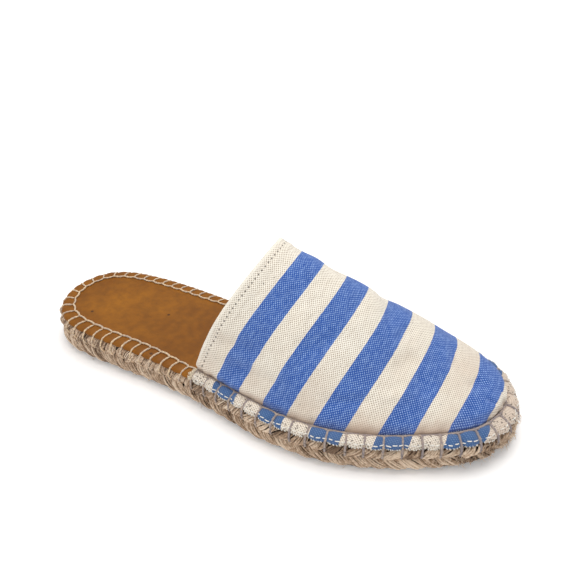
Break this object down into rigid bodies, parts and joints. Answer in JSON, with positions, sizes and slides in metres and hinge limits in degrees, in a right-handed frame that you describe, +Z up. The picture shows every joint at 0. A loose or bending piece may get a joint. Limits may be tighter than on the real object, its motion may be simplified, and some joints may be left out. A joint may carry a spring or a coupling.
{
  "type": "espadrille_mule",
  "caption": "Right-foot espadrille mule: low plaited jute sole on thin rubber, tan leather footbed turned over the rim, and a one-piece striped canvas vamp open at the heel.",
  "frame": {"origin": "On the floor, under the middle of the sole's length and width.", "axes": "+X runs from the heel to the toe, +Y points to the inner side of the foot, +Z points up."},
  "size_m": [0.2583, 0.0962, 0.0771],
  "materials": {
    "crepe_rubber": "matte, dark brown, thin sheet moulded under the jute",
    "plaited_jute": "coarse undyed jute plait, wound round and stitched, dry and fuzzy",
    "tan_leather": "smooth tan leather with a soft satin wear",
    "striped_canvas": "plain-weave cotton canvas, natural with broad blue stripes across the foot"
  },
  "bodies": {
    "root": {"outsole": "crepe_rubber", "sole": "plaited_jute", "insole": "tan_leather", "upper": "striped_canvas"}
  },
  "joints": []
}
